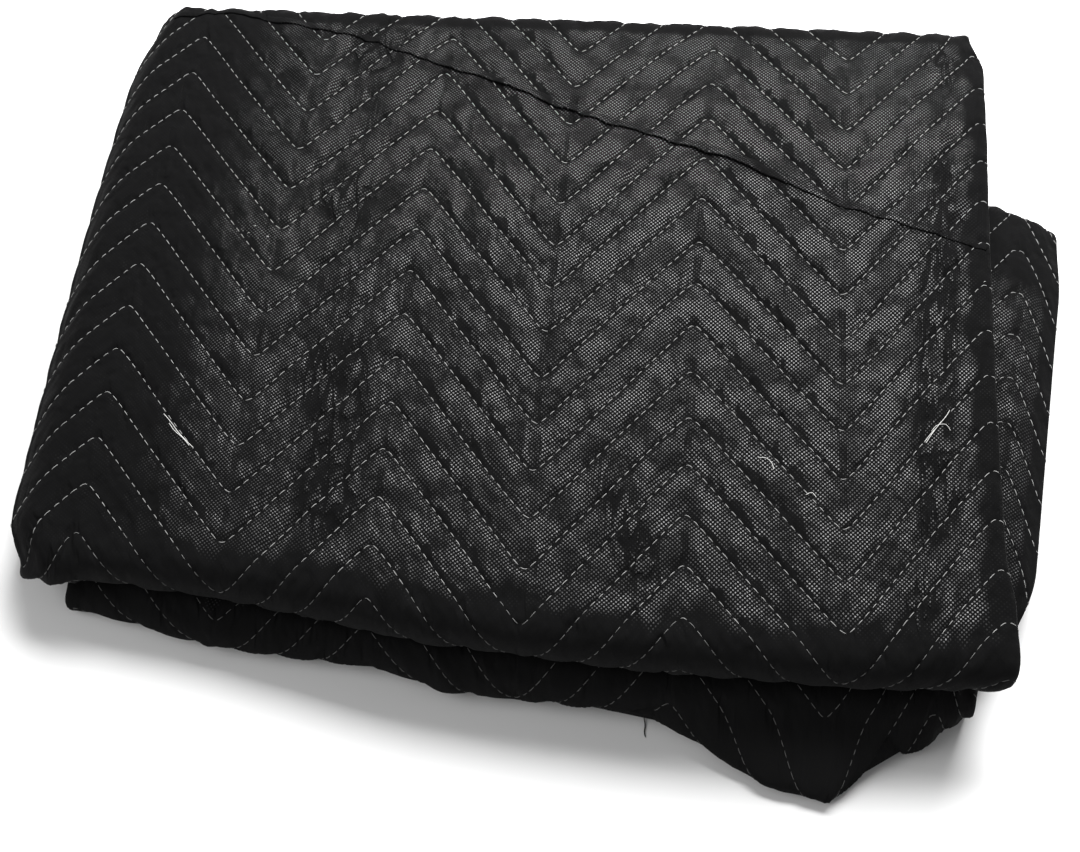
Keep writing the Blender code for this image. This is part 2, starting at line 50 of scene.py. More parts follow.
BUNDLE_PITCH = 0.0106
QUILT_HALF_PERIOD = 0.0985
QUILT_ROW = 0.0365
QUILT_HEIGHT = 0.113
REST_GAP = 0.0010
TIGHT_FOLD = PLY_PITCH / 2
WIDE_FOLD = PLY_PITCH
INNER_RAW_EDGE = 0.014
OUTER_RAW_EDGE = 0.010
INNER_BACK = 0.003
LOWER_TOP = 0.042
LEFT_SINK_START = 0.020
LEFT_SINK_SLOPE = 0.056
LEFT_SINK_SOFT = 0.070
BACK_SAG = 0.80
UPPER_THICK = 0.043
THINNER_ACROSS = 0.05
THINNER_ALONG = 0.06
LOOSE_START = 0.24
LOOSE_RATE = 0.45
UPPER_LEFT_EDGE = (-0.321, -0.026, 0.46)
LOWER_RIGHT_EDGE = (0.270, 0.053, 0.36)
LOWER_LEFT_EDGE = (-0.255, -0.046, 0.25)
LOWER_BACK_EDGE = (0.340, 0.070, 0.10)
PLAN_CENTRE = (0.0110, 0.0751)
QUILT_MIDDLE = 0.084
LEAN = 0.020
SPREAD = 0.017
BOW_ACROSS = 0.048
BOW_ALONG = 0.066
RIGHT_TUCK = 0.005
STAGGER = 0.0015
ROW_SLOPE = 0.020
ROW_BOW = 0.11
ROW_STRETCH = 0.045
ROW_CLOSING = 0.065
LOWER_PULL = ((0.287, 0.0), (0.324, 0.037))
UPPER = {
    "left_margin": 0.053,
    "right_margin": 0.004,
    "depth": 0.490,
    "bottom_extra": 0.010,
    "second_short": 0.012,
}
LOWER = {
    "left_margin": 0.006,
    "right_margin": 0.028,
    "depth": 0.400,
    "bottom_extra": 0.006,
    "second_short": 0.010,
}
UPPER_CORNERS = (
    ((-0.278, -0.353), (0.027, -0.020), 0.007, 0.000),
    ((-0.290, -0.345), (0.020, -0.018), 0.006, 0.003),
    ((-0.278, -0.353), (0.080, -0.020), 0.000, 0.006),
    ((-0.278, -0.353), (0.420, 0.500), 0.010, 0.000),
    ((0.270, 0.320), (0.060, 0.020), 0.006, 0.000),
    ((0.262, 0.298), (0.452, 0.492), -0.009, 0.000),
)
LOWER_CORNERS = (
    ((0.200, 0.325), (0.105, -0.015), -0.030, 0.000),
    ((0.200, 0.325), (0.060, -0.020), 0.000, 0.012),
    ((0.200, 0.325), (0.330, 0.410), -0.006, 0.000),
    ((0.230, 0.325), (0.300, 0.410), 0.000, -0.008),
)
UPPER_FRONT = (
    (-0.348, -0.110),
    (-0.320, -0.113),
    (-0.285, -0.104),
    (-0.200, -0.113),
    (-0.060, -0.139),
    (0.060, -0.150),
    (0.210, -0.153),
    (0.305, -0.148),
)
UPPER_BACK = 0.354
UPPER_BACK_SLOPE = 0.018
UPPER_BACK_BOW = 0.11
LOWER_FRONT = (
    (-0.298, -0.111),
    (-0.253, -0.119),
    (-0.202, -0.132),
    (-0.086, -0.141),
    (-0.046, -0.154),
    (0.086, -0.161),
    (0.145, -0.166),
    (0.320, -0.170),
)
QUILT_SWAY = (
    (-0.2955, 0.003),
    (-0.1970, 0.007),
    (-0.0985, 0.006),
    (0.0000, -0.003),
    (0.0985, 0.000),
    (0.1970, -0.004),
    (0.2955, 0.000),
)
LOWER_FRONT_ENDS = (-0.300, 0.314)
LOWER_BACK_RIGHT = (0.371, 0.219)
LOWER_BACK_LEFT = (-0.235, 0.305)
TOE = (
    (0.086, 0.000),
    (0.118, 0.016),
    (0.160, 0.040),
    (0.202, 0.050),
    (0.228, 0.028),
    (0.250, 0.008),
    (0.267, 0.018),
    (0.290, 0.012),
    (0.318, -0.012),
)
TOE_TOP = 0.036
TOE_FULL = 0.002
TOE_FADE = 0.130

# How finely the cloth is drawn
FINE_COLUMN = 0.0029
COARSE_COLUMN = 0.0250
COARSE_ROW = 0.0400
ROW_PARTS = (0.0, 0.025, 0.06, 0.11, 0.18, 0.27, 0.38, 0.5, 0.62, 0.73, 0.82, 0.89, 0.94, 0.975)
MESH_ROWS = range(-30, 31)
ROW_SEARCH = 0.45
ROW_SAMPLES = 700
INNER_COLUMN_STEP = 4
INNER_ROW_STEP = 3
UNDER_FACE = -0.0014

# Relief of the quilting
CROWN = 0.0021
TROUGH = 0.0002
KINK_SOFTNESS = 0.005
SEAM_WANDER = 0.0014
PUCKER = 0.00045
STROKE_DEPTH = 0.0014
DENT_DEPTH = 0.0010
VERTEX_FOLD_DEPTH = 0.0015
CREASE_HEIGHT = 0.0021
WAVE_HEIGHT = 0.0007
DEEPEST = -0.0009
NOISE_CELLS = 128

# Stitches, join and loose threads
STITCH_ROWS = range(-16, 18)
STITCH_PITCH = 0.0073
STITCH_LENGTH = 0.0057
STITCH_RISE = np.array((-0.00030, 0.00016, 0.00030, 0.00016, -0.00030))
STITCH_WIDTHS = 0.00026 * np.array((0.55, 0.95, 1.0, 0.95, 0.55))
STITCH_HEIGHTS = 0.00024 * np.array((0.8, 1.0, 1.0, 1.0, 0.8))
STITCH_SIDES = 5
SEAM_SPACING = 0.0012
JOIN_SPACING = 0.0022
LOOSE_SPACING = 0.0006
LOOSE_SIDES = 6
PALE_RADIUS = 0.00021
DARK_RADIUS = 0.00040

# Looks, light and camera
DOT_PITCH = 0.0029
CLOTH_BLACK = (0.0014, 0.0014, 0.0015)
GLINT_GREY = (0.031, 0.031, 0.0315)
STITCH_GREY = (0.26, 0.26, 0.255)
SHADED_STITCH_GREY = (0.10, 0.10, 0.098)
LOOSE_PALE = (0.60, 0.60, 0.58)
LOOSE_DARK = (0.012, 0.012, 0.013)
FLOOR_GREY = (0.68, 0.68, 0.68, 1.0)
FLOOR_REACH = 6.0
KEY = {"place": (0.38, 1.22, 1.50), "size": (1.66, 1.4), "power": 158.0, "target": (0.24, 0.62, 0.0)}
FILL = {"place": (-1.7, -0.7, 1.6), "size": (1.6, 1.4), "power": 22.0, "target": (-0.25, -0.15, 0.0)}
SKY_STRENGTH = 0.33
SENSOR_WIDTH = 36.0
LENS = 60.0
CAMERA_PLACE = (0.0444, -0.6344, 1.0777)
CAMERA_AIM_HEIGHT = 0.06


def between(low, high, value):
    """Smooth step from 0 at low to 1 at high."""
    share = np.clip((value - low) / (high - low), 0.0, 1.0)
    return share * share * (3.0 - 2.0 * share)


def along_table(rows, place):
    places, values = zip(*rows)
    return np.interp(place, places, values)


class Noise:
    """A smooth random field from -1 to 1, the same at each run."""

    def __init__(self, seed):
        self.table = np.random.RandomState(seed).uniform(-1.0, 1.0, (NOISE_CELLS, NOISE_CELLS))

    def at(self, u, v):
        u, v = np.broadcast_arrays(u, v)
        column = np.floor(u).astype(int)
        row = np.floor(v).astype(int)
        s = between(0.0, 1.0, u - column)
        t = between(0.0, 1.0, v - row)
        left, right = column % NOISE_CELLS, (column + 1) % NOISE_CELLS
        low, high = row % NOISE_CELLS, (row + 1) % NOISE_CELLS
        near = self.table[left, low] * (1 - s) + self.table[right, low] * s
        far = self.table[left, high] * (1 - s) + self.table[right, high] * s
        return near * (1 - t) + far * t


class FoldPath:
    """A line of straight runs and round bends in a plane, walked by the distance along it."""

    def __init__(self, start, heading, runs):
        pieces = []
        x, y = start
        angle = heading
        distance = 0.0
        for length, radius, turn in runs:
            pieces.append((distance, length, x, y, angle, radius, turn))
            if turn:
                side = math.copysign(1.0, turn)
                x += side * radius * (math.sin(angle + turn) - math.sin(angle))
                y -= side * radius * (math.cos(angle + turn) - math.cos(angle))
                angle += turn
            else:
                x += length * math.cos(angle)
                y += length * math.sin(angle)
            distance += length
        self.pieces = np.array(pieces)
        self.length = distance

    def at(self, distance):
        """Points and headings at distances along the path."""
        index = np.searchsorted(self.pieces[:, 0], distance + 1e-9, side="right") - 1
        index = np.clip(index, 0, len(self.pieces) - 1)
        begin, length, x, y, angle, radius, turn = self.pieces[index].T
        walked = distance - begin
        turned = angle + turn * walked / length
        side = np.sign(turn)
        x = x + side * radius * (np.sin(turned) - np.sin(angle)) + (turn == 0) * walked * np.cos(angle)
        y = y - side * radius * (np.cos(turned) - np.cos(angle)) + (turn == 0) * walked * np.sin(angle)
        return x, y, turned


def straight(length):
    return length, 0.0, 0.0


def bend(radius, turn):
    return radius * abs(turn), radius, turn


def fold_lines(start, radius, steps):
    """Distances along the flat cloth of the lines that draw a half turn."""
    return [start + math.pi * radius * step / steps for step in range(steps + 1)]


def zigzag(place):
    """Height of the zigzag at a place across, its kinks slightly rounded."""
    step = (place + 3.0 * QUILT_HALF_PERIOD) / QUILT_HALF_PERIOD
    reach = 1.0 - KINK_SOFTNESS
    wave = np.arcsin(reach * np.cos(math.pi * step)) / math.asin(reach)
    return QUILT_HEIGHT * 0.5 * wave


def left_sink(x):
    past = LEFT_SINK_START - x
    return LEFT_SINK_SLOPE * 0.5 * (past + np.hypot(past, LEFT_SINK_SOFT))


def support_height(x, y):
    """Top of the lower blanket, and the sagging line that the upper one follows past its back."""
    run = LOWER_BACK_RIGHT[0] - LOWER_BACK_LEFT[0]
    rise = LOWER_BACK_LEFT[1] - LOWER_BACK_RIGHT[1]
    back_line = LOWER_BACK_RIGHT[1] + rise * (LOWER_BACK_RIGHT[0] - x) / run
    past = np.maximum(0.0, y - back_line)
    return LOWER_TOP - left_sink(x) - past * past * BACK_SAG


def drawn_in(corners, x, y):
    """How far a table of corners moves a place of a folded blanket across and along."""
    across = 0.0
    along = 0.0
    for across_range, along_range, move_across, move_along in corners:
        share = between(*across_range, x) * between(*along_range, y)
        across = across + move_across * share
        along = along + move_along * share
    return across, along


def thinned(edge, place):
    """Share of the thickness that is left at a place near a thinner edge."""
    start, width, lost = edge
    return 1.0 - lost * np.clip((place - start) / width, 0.0, 1.0) ** 2


def upper_place(blanket, x, y, z):
    """Lays points of the folded upper blanket in the stack."""
    share = blanket.share_of_height(z)
    depth = blanket.sizes["depth"]
    inside = np.clip(y / depth, 0.0, 1.0)
    front = along_table(UPPER_FRONT, x)
    back = UPPER_BACK + UPPER_BACK_SLOPE * x + UPPER_BACK_BOW * x * x
    place_y = front + inside * (back - front) + (y - inside * depth)
    row = place_y - QUILT_MIDDLE
    place_x = x + LEAN * row + SPREAD * x * row + BOW_ACROSS * x * x + BOW_ALONG * row * row
    place_x = place_x - STAGGER * np.sin(5.0 * share + 0.6) * between(0.05, 0.3, np.abs(x))
    place_x = place_x - RIGHT_TUCK * between(0.18, 0.30, x)
    across, along = drawn_in(UPPER_CORNERS, x, y)
    place_x = place_x + across
    place_y = place_y + along
    spared = 1.0 - THINNER_ACROSS * (x / 0.3) ** 2 - THINNER_ALONG * (2.0 * inside - 1.0) ** 2
    thick = UPPER_THICK * spared * thinned(UPPER_LEFT_EDGE, x)
    loose = LOOSE_RATE * np.maximum(0.0, place_y - LOOSE_START) ** 2
    base = support_height(place_x, place_y) + REST_GAP - loose
    return place_x, place_y, base + share * (thick + loose)


def lower_place(blanket, x, y, z):
    """Lays points of the folded lower blanket on the surface."""
    share = blanket.share_of_height(z)
    depth = blanket.sizes["depth"]
    s = (x - blanket.left) / (blanket.right - blanket.left)
    inside = np.clip(y / depth, 0.0, 1.0)
    front_x = LOWER_FRONT_ENDS[0] + s * (LOWER_FRONT_ENDS[1] - LOWER_FRONT_ENDS[0])
    front_y = along_table(LOWER_FRONT, x)
    back_x = LOWER_BACK_LEFT[0] + s * (LOWER_BACK_RIGHT[0] - LOWER_BACK_LEFT[0])
    back_y = LOWER_BACK_LEFT[1] + s * (LOWER_BACK_RIGHT[1] - LOWER_BACK_LEFT[1])
    place_x = front_x + inside * (back_x - front_x)
    place_y = front_y + inside * (back_y - front_y) + y - inside * depth
    across, along = drawn_in(LOWER_CORNERS, x, y)
    place_x = place_x + across
    place_y = place_y + along
    thick = LOWER_TOP - left_sink(place_x)
    for edge, place in ((LOWER_RIGHT_EDGE, x), (LOWER_LEFT_EDGE, x), (LOWER_BACK_EDGE, y)):
        thick = thick * thinned(edge, place)
    place_z = share * thick
    low = 1.0 - between(TOE_FULL, TOE_TOP, place_z)
    near_front = 1.0 - between(0.0, TOE_FADE, y)
    place_y = place_y - along_table(TOE, x) * low * near_front
    return place_x, place_y, place_z


class Blanket:
    """The fold paths of a blanket, where its quilting lies and how its outer face stands out."""

    def __init__(self, sizes, place, relief):
        self.sizes = sizes
        self.place = place
        self.relief = relief
        half = 3.0 * QUILT_HALF_PERIOD
        self.left = -half - sizes["left_margin"] + WIDE_FOLD
        self.right = half + sizes["right_margin"] - TIGHT_FOLD
        width = self.right - self.left
        self.inner_run = width - INNER_RAW_EDGE
        self.across = FoldPath(
            (self.left + INNER_RAW_EDGE, 0.0),
            0.0,
            [
                straight(self.inner_run),
                bend(TIGHT_FOLD, math.pi),
                straight(width),
                bend(WIDE_FOLD, math.pi),
                straight(width - OUTER_RAW_EDGE),
            ],
        )
        self.face_start = self.inner_run + math.pi * TIGHT_FOLD
        self.face_end = self.face_start + width
        depth = sizes["depth"]
        self.front_start = depth + sizes["bottom_extra"]
        self.third_run = depth - INNER_BACK
        self.front_radius = 1.5 * BUNDLE_PITCH
        self.inner_radius = 0.5 * BUNDLE_PITCH
        self.along = FoldPath(
            (self.front_start, 0.5 * BUNDLE_PITCH),
            math.pi,
            [
                straight(self.front_start),
                bend(self.front_radius, -math.pi),
                straight(depth),
                bend(self.inner_radius, -math.pi),
                straight(self.third_run),
                bend(self.inner_radius, math.pi),
                straight(self.third_run - sizes["second_short"]),
            ],
        )
        self.top_start = self.front_start + math.pi * self.front_radius
        self.top_end = self.top_start + depth
        self.back_end = self.top_end + math.pi * self.inner_radius
        self.low = 0.5 * BUNDLE_PITCH - PLY_PITCH - SHEET / 2
        self.high = 3.5 * BUNDLE_PITCH + PLY_PITCH + SHEET / 2

    def share_of_height(self, z):
        return (z - self.low) / (self.high - self.low)

    def unfolded(self, across):
        """Place across, counted as on the visible face and going on past its folds."""
        return self.right - (across - self.face_start)

    def laid(self, across, along, lift):
        """Places in the stack of points of the flat cloth, lifted off its middle surface."""
        x, height, heading = self.across.at(across)
        x = x + lift * np.sin(heading)
        height = height - lift * np.cos(heading)
        y, z, heading = self.along.at(along)
        places = self.place(self, x, y - height * np.sin(heading), z + height * np.cos(heading))
        return np.stack(places, axis=-1) - np.array((*PLAN_CENTRE, 0.0))

    def quilt_coordinate(self, across, along):
        """Distance along the quilting's own rows at points of the flat cloth."""
        x = np.clip(self.unfolded(across), self.left, self.right)
        y = np.clip(along - self.top_start, 0.0, self.sizes["depth"])
        beyond = along - self.top_start - y
        stretch = np.where(beyond < 0.0, (self.front_radius + PLY_PITCH) / self.front_radius, 1.0)
        world_y = self.place(self, x, y, self.high)[1]
        curve = ROW_SLOPE * x + ROW_BOW * x * x + along_table(QUILT_SWAY, x)
        row = (world_y - QUILT_MIDDLE - curve) / (1.0 + ROW_STRETCH * x)
        wander = SEAM_WANDER * wander_noise.at(across / 0.038, along / 0.055)
        if self.sizes is LOWER:
            wander = wander + along_table(LOWER_PULL, x)
        return row - ROW_CLOSING * row * row + beyond * stretch + wander

    def rows_at(self, across, row_numbers):
        """Distances along the flat cloth of quilting rows, for each place across: rows by places."""
        samples = np.linspace(self.front_start - ROW_SEARCH, self.back_end + ROW_SEARCH, ROW_SAMPLES)
        wanted = np.asarray(row_numbers) * QUILT_ROW
        places = np.empty((len(row_numbers), len(across)))
        shift = zigzag(self.unfolded(across))
        for index, place in enumerate(across):
            known = self.quilt_coordinate(np.full(samples.shape, place), samples)
            places[:, index] = np.interp(wanted + shift[index], known, samples)
        return places

    def phase(self, across, along):
        """Row number and share of the way to the next row, as one number."""
        return (self.quilt_coordinate(across, along) - zigzag(self.unfolded(across))) / QUILT_ROW

    def outer_lift(self, across, along):
        return SHEET / 2 + self.relief(self, across, along)


LEG_STRETCH = math.hypot(QUILT_HALF_PERIOD, QUILT_HEIGHT) / QUILT_HALF_PERIOD
swell_noise = Noise(11)
pucker_noise = Noise(12)
dent_noise = Noise(13)
band_noise = Noise(14)
wave_noise = Noise(15)
wander_noise = Noise(16)
stroke_noise = Noise(17)
painted_shade_noise = Noise(18)


def channel(blanket, across, along):
    """Height of the quilted channels over the stitching, with puckers beside it, in metres."""
    phase = blanket.phase(across, along)
    row = np.round(phase)
    off = (phase - row) * QUILT_ROW / LEG_STRETCH
    reach = 0.5 * QUILT_ROW / LEG_STRETCH
    near = 1.0 - np.abs(off) / reach
    x = blanket.unfolded(across)
    run = x * LEG_STRETCH
    swell = 1.0 + 0.25 * swell_noise.at(run / 0.031, np.floor(phase) * 5.3)
    height = CROWN * swell * (1.0 - near ** 2.3) - TROUGH
    beside = np.exp(-(off / 0.0065) ** 2) * (1.0 - np.exp(-(off / 0.0012) ** 2))
    height = height + PUCKER * beside * pucker_noise.at(run / 0.0085, row * 7.7 + off / 0.014)
    strokes = between(0.0, 0.6, stroke_noise.at(x / 0.0068 + row * 3.7, along / 0.021 + row * 1.3))
    strokes = strokes * np.exp(-((off - 0.004) / 0.0055) ** 2)
    dents = between(0.25, 0.9, dent_noise.at(run / 0.021, phase * 3.1))
    height = height - STROKE_DEPTH * strokes * (1.0 - np.exp(-(off / 0.0015) ** 2))
    return height - DENT_DEPTH * dents * (1.0 - near ** 3) + vertex_folds(x, phase)


def vertex_folds(x, phase):
    """Short folds that run from the points of the zigzag into the channel inside them."""
    step = np.round(x / QUILT_HALF_PERIOD)
    aside = x - step * QUILT_HALF_PERIOD
    peak = np.mod(step + 3.0, 2.0) < 0.5
    share = phase - np.floor(phase)
    inside = np.where(peak, 1.0 - share, share)
    row = np.round(phase)
    strength = 0.35 + 0.65 * stroke_noise.at(row * 5.1 + 0.4, step * 7.3)
    lean = 0.0035 + 0.0035 * stroke_noise.at(row * 2.9 + 9.4, step * 3.1)
    drift = 0.010 * (inside - 0.2) * stroke_noise.at(row * 3.3, step * 2.7)
    line = aside - np.where(peak, lean, -0.5 * lean) - drift
    mask = between(0.02, 0.10, inside) * between(0.62, 0.25, inside) * np.clip(strength, 0.0, 1.0)
    groove = np.exp(-(line / 0.0030) ** 2) - 0.45 * np.exp(-((line + 0.0062) / 0.0036) ** 2)
    return -VERTEX_FOLD_DEPTH * mask * groove


# The lapped join across the upper blanket's face: its line as places across and along, the lip's
# height by place across, and the section as distance behind the lip, share of the lip's height and lift
JOIN_LINE = (
    (-0.329, 0.480), (-0.277, 0.488), (-0.245, 0.480), (-0.185, 0.468), (-0.121, 0.444),
    (-0.057, 0.420), (0.007, 0.392), (0.067, 0.372), (0.123, 0.352), (0.179, 0.324),
    (0.223, 0.308), (0.279, 0.288), (0.297, 0.281),
)
JOIN_LIP = (
    (-0.33, 0.0007), (-0.16, 0.0008), (-0.12, 0.0013), (-0.06, 0.0017),
    (-0.03, 0.0011), (0.01, 0.0016), (0.05, 0.0008), (0.09, 0.0013),
    (0.13, 0.0015), (0.17, 0.0008), (0.27, 0.0007), (0.297, 0.0003),
)
JOIN_SECTION = (
    (0.0000, 1.00, 0.0000),
    (0.0012, 0.95, 0.0001),
    (0.0040, 0.55, 0.0001),
    (0.0090, 0.00, -0.0004),
    (0.0090, 0.00, -0.0009),
    (0.0030, 0.00, -0.0006),
    (0.0002, 0.60, -0.0004),
)

# Loose threads on the upper blanket's face: place across, place along, height over the cloth
PALE_THREADS = (
    (
        (-0.252, 0.099, 0.0004), (-0.246, 0.093, 0.0012), (-0.238, 0.084, 0.0014),
        (-0.231, 0.078, 0.0010), (-0.227, 0.075, 0.0004),
    ),
    (
        (-0.247, 0.092, 0.0006), (-0.242, 0.086, 0.0018), (-0.234, 0.080, 0.0014),
        (-0.230, 0.076, 0.0006),
    ),
    (
        (0.252, 0.132, 0.0004), (0.256, 0.138, 0.0014), (0.262, 0.146, 0.0016),
        (0.266, 0.151, 0.0012), (0.269, 0.157, 0.0004),
    ),
    ((0.251, 0.133, 0.0004), (0.254, 0.137, 0.0012), (0.258, 0.142, 0.0004)),
    ((0.256, 0.141, 0.0004), (0.260, 0.145, 0.0012), (0.266, 0.145, 0.0012), (0.269, 0.141, 0.0004)),
    ((0.143, 0.116, 0.0004), (0.148, 0.116, 0.0010), (0.152, 0.112, 0.0010), (0.153, 0.108, 0.0004)),
    ((0.173, 0.093, 0.0004), (0.177, 0.095, 0.0009), (0.180, 0.092, 0.0004)),
)
SPECKS = ((-0.217, 0.268), (-0.089, 0.104), (0.295, 0.256), (-0.221, 0.262), (-0.206, 0.259))
DARK_THREAD = (
    (0.0665, -0.2440, 0.0120),
    (0.0672, -0.2490, 0.0085),
    (0.0682, -0.2535, 0.0022),
    (0.0692, -0.2590, 0.0006),
    (0.0689, -0.2630, 0.0005),
    (0.0697, -0.2665, 0.0005),
)

# Bands of old fold creases on the upper blanket's face: middle line (place along, place across)
LEFT_BAND = ((0.028, -0.129), (0.068, -0.133), (0.128, -0.141), (0.244, -0.149), (0.440, -0.157))
RIGHT_BAND = ((0.028, 0.247), (0.080, 0.255), (0.164, 0.259), (0.276, 0.263), (0.488, 0.271))
MIDDLE_BAND = ((0.020, 0.078), (0.080, 0.059), (0.124, 0.043), (0.180, 0.030))


def band_mask(blanket, across, along):
    """How creased the upper blanket's face is, from 0 to 1, along the three bands."""
    x = blanket.unfolded(across)
    y = along - blanket.top_start
    mask = 0.0
    for line, width, first, last, amount, seed in (
        (LEFT_BAND, 0.021, -0.01, 0.50, 1.0, 3.0),
        (RIGHT_BAND, 0.013, -0.01, 0.50, 0.9, 9.0),
        (MIDDLE_BAND, 0.019, 0.0, 0.17, 0.50, 17.0),
    ):
        middle = along_table(line, y) + 0.005 * band_noise.at(y / 0.045, seed)
        ends = between(first, first + 0.04, y) * between(last, last - 0.05, y)
        patch = 0.30 + 0.70 * between(-0.4, 0.4, band_noise.at(y / 0.05, seed + 40.0))
        mask = mask + amount * ends * patch * np.exp(-((x - middle) / width) ** 2)
    return np.clip(mask, 0.0, 1.0)


def upper_relief(blanket, across, along):
    x = blanket.unfolded(across)
    y = along - blanket.top_start
    sides = between(blanket.face_start - 0.0045, blanket.face_start + 0.003, across)
    sides = sides * between(blanket.face_end + 0.010, blanket.face_end - 0.004, across)
    ends = between(blanket.front_start + 0.004, blanket.front_start + 0.016, along)
    ends = ends * between(blanket.back_end, blanket.top_end, along)
    ridges = 1.0 - 2.4 * np.abs(band_noise.at((x + 0.12 * y) / 0.0115, y / 0.027))
    creases = CREASE_HEIGHT * band_mask(blanket, across, along) * ridges
    waves = WAVE_HEIGHT * wave_noise.at(x / 0.05, y / 0.07)
    height = channel(blanket, across, along) + creases + waves
    return sides * ends * np.maximum(height, DEEPEST)


def lower_relief(blanket, across, along):
    world = blanket.laid(across, along, np.zeros(across.shape))
    sides = between(blanket.face_start - 0.003, blanket.face_start + 0.008, across)
    sides = sides * between(blanket.face_end + 0.008, blanket.face_end - 0.004, across)
    off_floor = between(blanket.front_start + 0.006, blanket.front_start + 0.018, along)
    front = between(blanket.top_start - 0.006, blanket.top_start - 0.016, along)
    margin = between(0.303, 0.313, world[..., 0]) * between(blanket.back_end, blanket.top_end, along)
    return sides * off_floor * np.maximum(front, margin) * channel(blanket, across, along)


def sorted_apart(values, gap):
    """The values in order, without any that comes within the gap of another."""
    kept = []
    for value in sorted(values):
        if not kept or value - kept[-1] > gap:
            kept.append(value)
    return kept


def filled_in(firm, pitch, fine_start=0.0, fine_end=0.0):
    """The firm places and evenly spaced ones between them, closer together in the fine range."""
    lines = []
    for start, end in zip(firm, firm[1:]):
        fine = fine_start < 0.5 * (start + end) < fine_end
        steps = max(1, round((end - start) / (FINE_COLUMN if fine else pitch)))
        lines += [start + (end - start) * step / steps for step in range(steps)]
    return lines + [firm[-1]]


def column_lines(blanket):
    """Places across the flat cloth of the mesh's lines, close together where its outer side is seen."""
    firm = fold_lines(blanket.inner_run, TIGHT_FOLD, 4) + fold_lines(blanket.face_end, WIDE_FOLD, 8)
    firm += [0.0, blanket.across.length]
    middle = blanket.face_start + blanket.right
    kinks = [middle - step * QUILT_HALF_PERIOD for step in range(-11, 12)]
    firm += [kink for kink in kinks if 0.0 < kink < blanket.across.length]
    fine_start = blanket.inner_run - 0.004
    fine_end = blanket.face_end + math.pi * WIDE_FOLD + 0.006
    return np.array(filled_in(sorted_apart(firm, 2e-4), COARSE_COLUMN, fine_start, fine_end))


def row_lines(blanket, across):
    """Distances along the flat cloth of the mesh's other lines, for each place across."""
    numbers = [row + part for row in MESH_ROWS for part in ROW_PARTS]
    rows = blanket.rows_at(across, numbers)
    first = next(i for i in range(len(rows)) if rows[i].max() > blanket.front_start + 0.002)
    last = next(i for i in reversed(range(len(rows))) if rows[i].min() < blanket.back_end - 0.002)
    rows = rows[first:last + 1]
    start = rows[0].min() - 0.02
    end = rows[-1].max() + 0.02
    straight_first = np.linspace(0.0, start, max(2, round(start / COARSE_ROW)))
    firm = fold_lines(blanket.back_end + blanket.third_run, blanket.inner_radius, 8)
    firm = sorted(place for place in firm + [end, blanket.along.length] if place >= end)
    straight_last = filled_in(firm, COARSE_ROW)
    turning = [0.2, 0.4, 0.6, 0.8]
    into = [start + (rows[0] - start) * share for share in turning]
    out = [rows[-1] + (end - rows[-1]) * share for share in turning]
    parts = [np.full(len(across), place) for place in straight_first]
    parts += into + list(rows) + out
    parts += [np.full(len(across), place) for place in straight_last]
    return np.array(parts)


def thinned_out(count, step):
    """Every step-th index of a range, with its last one."""
    return [*range(0, count - 1, step), count - 1]


def grid_faces(columns, rows, offset, flip):
    """Four-cornered faces of a grid whose points are numbered row by row."""
    corner = (np.arange(rows - 1)[:, None] * columns + np.arange(columns - 1)).ravel() + offset
    faces = np.stack((corner, corner + 1, corner + columns + 1, corner + columns), axis=1)
    return faces[:, ::-1] if flip else faces


def ring_of(columns, rows):
    """The border points of a grid in order, once round."""
    ring = list(range(columns - 1))
    ring += [row * columns + columns - 1 for row in range(rows - 1)]
    ring += [(rows - 1) * columns + column for column in range(columns - 1, 0, -1)]
    ring += [row * columns for row in range(rows - 1, 0, -1)]
    return ring


def rim_faces(outer_ring, inner_ring, twins, offset):
    """Many-cornered faces that join the sheet's two sides along its raw edges."""
    faces = []
    shared = [outer_ring.index(twins[point]) for point in inner_ring]
    for index, start in enumerate(shared):
        following = (index + 1) % len(shared)
        end = shared[following]
        stretch = outer_ring[start:end + 1] if end > start else outer_ring[start:] + outer_ring[:1]
        faces.append((*stretch, offset + inner_ring[following], offset + inner_ring[index]))
    return faces


def in_scene(name, data):
    """A new object of the scene that shows a mesh, a light or a camera."""
    thing = bpy.data.objects.new(name, data)
    bpy.context.scene.collection.objects.link(thing)
    return thing


def new_piece(name, verts, faces, material):
    """A smooth mesh object in the scene."""
    mesh = bpy.data.meshes.new(name)
    mesh.from_pydata(verts.reshape(-1, 3).tolist(), [], faces)
    mesh.materials.append(material)
    mesh.shade_smooth()
    return in_scene(name, mesh)


def turn_out(mesh, cut_rims=False):
    """Makes a closed mesh's faces look outwards, and first cuts up its rim faces where asked."""
    solid = bmesh.new()
    solid.from_mesh(mesh)
    if cut_rims:
        bmesh.ops.triangulate(solid, faces=[face for face in solid.faces if len(face.verts) > 4])
    bmesh.ops.recalc_face_normals(solid, faces=solid.faces[:])
    solid.to_mesh(mesh)
    solid.free()


